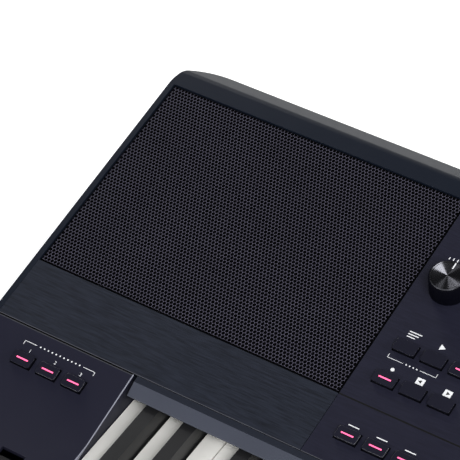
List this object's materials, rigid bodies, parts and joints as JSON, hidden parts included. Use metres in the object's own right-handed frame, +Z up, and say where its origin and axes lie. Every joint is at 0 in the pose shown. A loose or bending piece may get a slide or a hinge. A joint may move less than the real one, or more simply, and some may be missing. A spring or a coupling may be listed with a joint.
{
  "type": "arranger keyboard",
  "caption": "Dark arranger keyboard: sloping panel with speaker grilles, display, buttons and knobs, hinged piano keys, bend and modulation wheels on the left end block.",
  "frame": {"origin": "on the floor under the middle of the case", "axes": "+X along the keys from low to high notes, +Y from the player to the rear, +Z up"},
  "size_m": [1.004, 0.41, 0.1336],
  "materials": {
    "case_plastic": "fine texture",
    "rail_plastic": "satin",
    "grille_metal": "perforated sheet",
    "driver_steel": "satin",
    "cone_paper": "matt",
    "magnet": "plain",
    "window": "clear",
    "inner_plastic": "plain",
    "circuit_board": "solder mask",
    "rubber": "matt",
    "felt": "felt",
    "screw_steel": "plain",
    "button_plastic": "matt",
    "wheel_rubber": "matt",
    "knob_plastic": "spun top",
    "white_key": "gloss",
    "black_key": "satin"
  },
  "bodies": {
    "case": {"bottom_case": "case_plastic", "top_case": "case_plastic", "left_end_block": "case_plastic", "right_end_block": "case_plastic", "left_speaker_cover": "case_plastic", "right_speaker_cover": "case_plastic", "left_speaker_grille": "grille_metal", "right_speaker_grille": "grille_metal", "control_panel": "case_plastic", "fall_rail": "rail_plastic", "speaker_baskets": "driver_steel", "speaker_cones": "cone_paper", "speaker_magnets": "magnet", "display_window": "window", "lcd_module": "inner_plastic", "switch_boards": "circuit_board", "main_board": "circuit_board", "amp_board": "circuit_board", "key_chassis": "inner_plastic", "key_contact_board": "circuit_board", "key_contact_rubber": "rubber", "key_felts": "felt", "rear_jacks": "inner_plastic", "rubber_feet": "rubber", "case_screws": "screw_steel", "wheel_bracket": "inner_plastic", "control_pots": "inner_plastic"},
    "style_button": {"style_button": "button_plastic"},
    "song_button": {"song_button": "button_plastic"},
    "metronome_button": {"metronome_button": "button_plastic"},
    "tap_button": {"tap_button": "button_plastic"},
    "tempo_down_button": {"tempo_down_button": "button_plastic"},
    "tempo_up_button": {"tempo_up_button": "button_plastic"},
    "power_button": {"power_button": "button_plastic"},
    "style_control_buttons": {"style_control_buttons": "button_plastic"},
    "registration_buttons": {"registration_buttons": "button_plastic"},
    "display_buttons": {"display_buttons": "button_plastic"},
    "voice_buttons": {"voice_buttons": "button_plastic"},
    "assignable_button_1": {"assignable_button_1": "button_plastic"},
    "assignable_button_2": {"assignable_button_2": "button_plastic"},
    "assignable_button_3": {"assignable_button_3": "button_plastic"},
    "pitch_bend_wheel": {"pitch_bend_wheel": "wheel_rubber"},
    "modulation_wheel": {"modulation_wheel": "wheel_rubber"},
    "master_volume_knob": {"master_volume_knob": "knob_plastic"},
    "data_dial": {"data_dial": "knob_plastic"},
    "outer_white_keys_1": {"outer_white_keys_1": "white_key"},
    "inner_white_keys_1": {"inner_white_keys_1": "white_key"},
    "black_keys_1": {"black_keys_1": "black_key"},
    "outer_white_keys_2": {"outer_white_keys_2": "white_key"},
    "inner_white_keys_2": {"inner_white_keys_2": "white_key"},
    "black_keys_2": {"black_keys_2": "black_key"},
    "outer_white_keys_3": {"outer_white_keys_3": "white_key"},
    "inner_white_keys_3": {"inner_white_keys_3": "white_key"},
    "black_keys_3": {"black_keys_3": "black_key"},
    "outer_white_keys_4": {"outer_white_keys_4": "white_key"},
    "inner_white_keys_4": {"inner_white_keys_4": "white_key"},
    "black_keys_4": {"black_keys_4": "black_key"},
    "outer_white_keys_5": {"outer_white_keys_5": "white_key"},
    "inner_white_keys_5": {"inner_white_keys_5": "white_key"},
    "black_keys_5": {"black_keys_5": "black_key"}
  },
  "joints": [
    {"name": "style_button_press", "type": "slide", "parent": "case", "child": "style_button", "axis": [0, 0.1736, -0.9848], "range_m": [0, 0.001], "stiffness_N_per_m": 500, "springref_m": -0.001},
    {"name": "song_button_press", "type": "slide", "parent": "case", "child": "song_button", "axis": [0, 0.1736, -0.9848], "range_m": [0, 0.001], "stiffness_N_per_m": 500, "springref_m": -0.001},
    {"name": "metronome_button_press", "type": "slide", "parent": "case", "child": "metronome_button", "axis": [0, 0.1736, -0.9848], "range_m": [0, 0.001], "stiffness_N_per_m": 500, "springref_m": -0.001},
    {"name": "tap_button_press", "type": "slide", "parent": "case", "child": "tap_button", "axis": [0, 0.1736, -0.9848], "range_m": [0, 0.001], "stiffness_N_per_m": 500, "springref_m": -0.001},
    {"name": "tempo_down_button_press", "type": "slide", "parent": "case", "child": "tempo_down_button", "axis": [0, 0.1736, -0.9848], "range_m": [0, 0.001], "stiffness_N_per_m": 500, "springref_m": -0.001},
    {"name": "tempo_up_button_press", "type": "slide", "parent": "case", "child": "tempo_up_button", "axis": [0, 0.1736, -0.9848], "range_m": [0, 0.001], "stiffness_N_per_m": 500, "springref_m": -0.001},
    {"name": "power_button_press", "type": "slide", "parent": "case", "child": "power_button", "axis": [0, 0.1736, -0.9848], "range_m": [0, 0.001], "stiffness_N_per_m": 500, "springref_m": -0.001},
    {"name": "assignable_button_1_press", "type": "slide", "parent": "case", "child": "assignable_button_1", "axis": [0, 0.2672, -0.9636], "range_m": [0, 0.001], "stiffness_N_per_m": 500, "springref_m": -0.001},
    {"name": "assignable_button_2_press", "type": "slide", "parent": "case", "child": "assignable_button_2", "axis": [0, 0.2672, -0.9636], "range_m": [0, 0.001], "stiffness_N_per_m": 500, "springref_m": -0.001},
    {"name": "assignable_button_3_press", "type": "slide", "parent": "case", "child": "assignable_button_3", "axis": [0, 0.2672, -0.9636], "range_m": [0, 0.001], "stiffness_N_per_m": 500, "springref_m": -0.001},
    {"name": "style_control_buttons_press", "type": "slide", "parent": "case", "child": "style_control_buttons", "axis": [0, 0.1736, -0.9848], "range_m": [0, 0.001], "stiffness_N_per_m": 1500, "springref_m": -0.001},
    {"name": "registration_buttons_press", "type": "slide", "parent": "case", "child": "registration_buttons", "axis": [0, 0.1736, -0.9848], "range_m": [0, 0.001], "stiffness_N_per_m": 1500, "springref_m": -0.001},
    {"name": "display_buttons_press", "type": "slide", "parent": "case", "child": "display_buttons", "axis": [0, 0.1736, -0.9848], "range_m": [0, 0.001], "stiffness_N_per_m": 1500, "springref_m": -0.001},
    {"name": "voice_buttons_press", "type": "slide", "parent": "case", "child": "voice_buttons", "axis": [0, 0.1736, -0.9848], "range_m": [0, 0.001], "stiffness_N_per_m": 1500, "springref_m": -0.001},
    {"name": "volume_turn", "type": "hinge", "parent": "case", "child": "master_volume_knob", "pos_m": [-0.2433, 0.10833, 0.11593], "axis": [0, -0.1736, 0.9848], "range_deg": [-150, 150]},
    {"name": "dial_turn", "type": "hinge", "parent": "case", "child": "data_dial", "pos_m": [0.1746, 0.11237, 0.11665], "axis": [0, -0.1736, 0.9848], "continuous": true},
    {"name": "pitch_bend_wheel_turn", "type": "hinge", "parent": "case", "child": "pitch_bend_wheel", "pos_m": [-0.464, -0.14053, 0.05595], "axis": [1, 0, 0], "range_deg": [-45, 45], "stiffness_Nm_per_rad": 0.15},
    {"name": "modulation_wheel_turn", "type": "hinge", "parent": "case", "child": "modulation_wheel", "pos_m": [-0.428, -0.14053, 0.05595], "axis": [1, 0, 0], "range_deg": [-45, 45]},
    {"name": "outer_white_keys_1_press", "type": "hinge", "parent": "case", "child": "outer_white_keys_1", "pos_m": [0, 0.00565, 0.064], "axis": [1, 0, 0], "range_deg": [0, 2.8], "stiffness_Nm_per_rad": 3, "springref_deg": -5.73},
    {"name": "inner_white_keys_1_press", "type": "hinge", "parent": "case", "child": "inner_white_keys_1", "pos_m": [0, 0.00565, 0.058], "axis": [1, 0, 0], "range_deg": [0, 2.8], "stiffness_Nm_per_rad": 3, "springref_deg": -5.73},
    {"name": "black_keys_1_press", "type": "hinge", "parent": "case", "child": "black_keys_1", "pos_m": [0, 0.00565, 0.052], "axis": [1, 0, 0], "range_deg": [0, 2.8], "stiffness_Nm_per_rad": 3, "springref_deg": -5.73},
    {"name": "outer_white_keys_2_press", "type": "hinge", "parent": "case", "child": "outer_white_keys_2", "pos_m": [0, 0.00565, 0.064], "axis": [1, 0, 0], "range_deg": [0, 2.8], "stiffness_Nm_per_rad": 3, "springref_deg": -5.73},
    {"name": "inner_white_keys_2_press", "type": "hinge", "parent": "case", "child": "inner_white_keys_2", "pos_m": [0, 0.00565, 0.058], "axis": [1, 0, 0], "range_deg": [0, 2.8], "stiffness_Nm_per_rad": 3, "springref_deg": -5.73},
    {"name": "black_keys_2_press", "type": "hinge", "parent": "case", "child": "black_keys_2", "pos_m": [0, 0.00565, 0.052], "axis": [1, 0, 0], "range_deg": [0, 2.8], "stiffness_Nm_per_rad": 3, "springref_deg": -5.73},
    {"name": "outer_white_keys_3_press", "type": "hinge", "parent": "case", "child": "outer_white_keys_3", "pos_m": [0, 0.00565, 0.064], "axis": [1, 0, 0], "range_deg": [0, 2.8], "stiffness_Nm_per_rad": 3, "springref_deg": -5.73},
    {"name": "inner_white_keys_3_press", "type": "hinge", "parent": "case", "child": "inner_white_keys_3", "pos_m": [0, 0.00565, 0.058], "axis": [1, 0, 0], "range_deg": [0, 2.8], "stiffness_Nm_per_rad": 3, "springref_deg": -5.73},
    {"name": "black_keys_3_press", "type": "hinge", "parent": "case", "child": "black_keys_3", "pos_m": [0, 0.00565, 0.052], "axis": [1, 0, 0], "range_deg": [0, 2.8], "stiffness_Nm_per_rad": 3, "springref_deg": -5.73},
    {"name": "outer_white_keys_4_press", "type": "hinge", "parent": "case", "child": "outer_white_keys_4", "pos_m": [0, 0.00565, 0.064], "axis": [1, 0, 0], "range_deg": [0, 2.8], "stiffness_Nm_per_rad": 3, "springref_deg": -5.73},
    {"name": "inner_white_keys_4_press", "type": "hinge", "parent": "case", "child": "inner_white_keys_4", "pos_m": [0, 0.00565, 0.058], "axis": [1, 0, 0], "range_deg": [0, 2.8], "stiffness_Nm_per_rad": 3, "springref_deg": -5.73},
    {"name": "black_keys_4_press", "type": "hinge", "parent": "case", "child": "black_keys_4", "pos_m": [0, 0.00565, 0.052], "axis": [1, 0, 0], "range_deg": [0, 2.8], "stiffness_Nm_per_rad": 3, "springref_deg": -5.73},
    {"name": "outer_white_keys_5_press", "type": "hinge", "parent": "case", "child": "outer_white_keys_5", "pos_m": [0, 0.00565, 0.064], "axis": [1, 0, 0], "range_deg": [0, 2.8], "stiffness_Nm_per_rad": 3, "springref_deg": -5.73},
    {"name": "inner_white_keys_5_press", "type": "hinge", "parent": "case", "child": "inner_white_keys_5", "pos_m": [0, 0.00565, 0.058], "axis": [1, 0, 0], "range_deg": [0, 2.8], "stiffness_Nm_per_rad": 3, "springref_deg": -5.73},
    {"name": "black_keys_5_press", "type": "hinge", "parent": "case", "child": "black_keys_5", "pos_m": [0, 0.00565, 0.052], "axis": [1, 0, 0], "range_deg": [0, 2.8], "stiffness_Nm_per_rad": 3, "springref_deg": -5.73}
  ]
}
